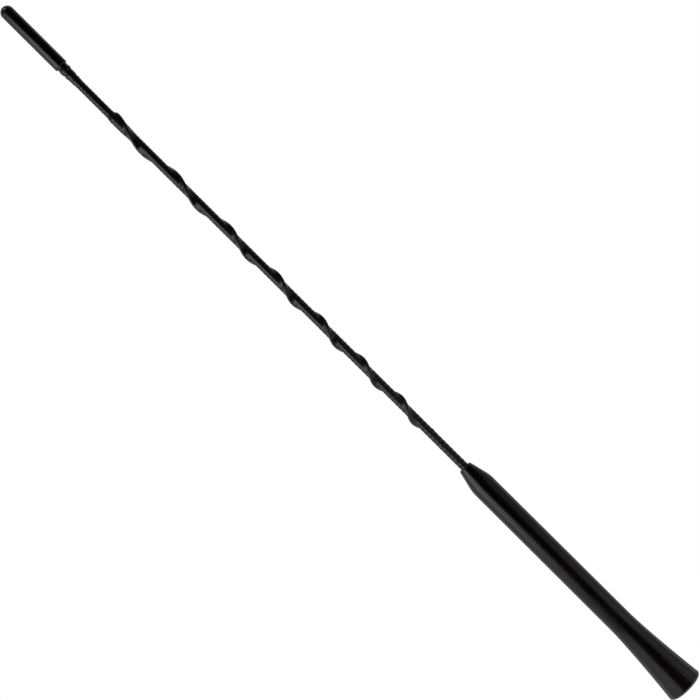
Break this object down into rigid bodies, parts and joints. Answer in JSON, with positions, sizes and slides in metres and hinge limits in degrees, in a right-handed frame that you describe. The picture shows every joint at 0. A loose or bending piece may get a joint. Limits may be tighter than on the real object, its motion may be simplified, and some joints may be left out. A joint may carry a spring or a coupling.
{
  "type": "car mast aerial",
  "caption": "Rod aerial for a car roof: domed cap, thin whip with a spiral wind-noise ridge, and a moulded handle flaring to a cup round a threaded stud.",
  "frame": {"origin": "centre of the seating rim's plane, on the axis of the mounting stud", "axes": "+Z along the mast from the seating rim to the tip; the cord's ridge starts at +X at its upper end"},
  "size_m": [0.0168, 0.0168, 0.411],
  "materials": {
    "cap_plastic": "satin moulded",
    "sleeve_plastic": "satin, heat-shrunk polyolefin",
    "nylon_line": "smooth drawn",
    "enamelled_copper": "enamelled and varnished",
    "glass_fibre": "pultruded, semi-matt",
    "solder": "dull, frozen",
    "nickel_plate": "bright nickel plate on turned brass",
    "grip_plastic": "satin moulded thermoplastic rubber"
  },
  "bodies": {
    "root": {"tip_cap": "cap_plastic", "shrink_sleeve": "sleeve_plastic", "noise_cord": "nylon_line", "aerial_winding": "enamelled_copper", "glass_fibre_rod": "glass_fibre", "solder_joint": "solder", "stud_ferrule": "nickel_plate", "grip": "grip_plastic"}
  },
  "joints": []
}
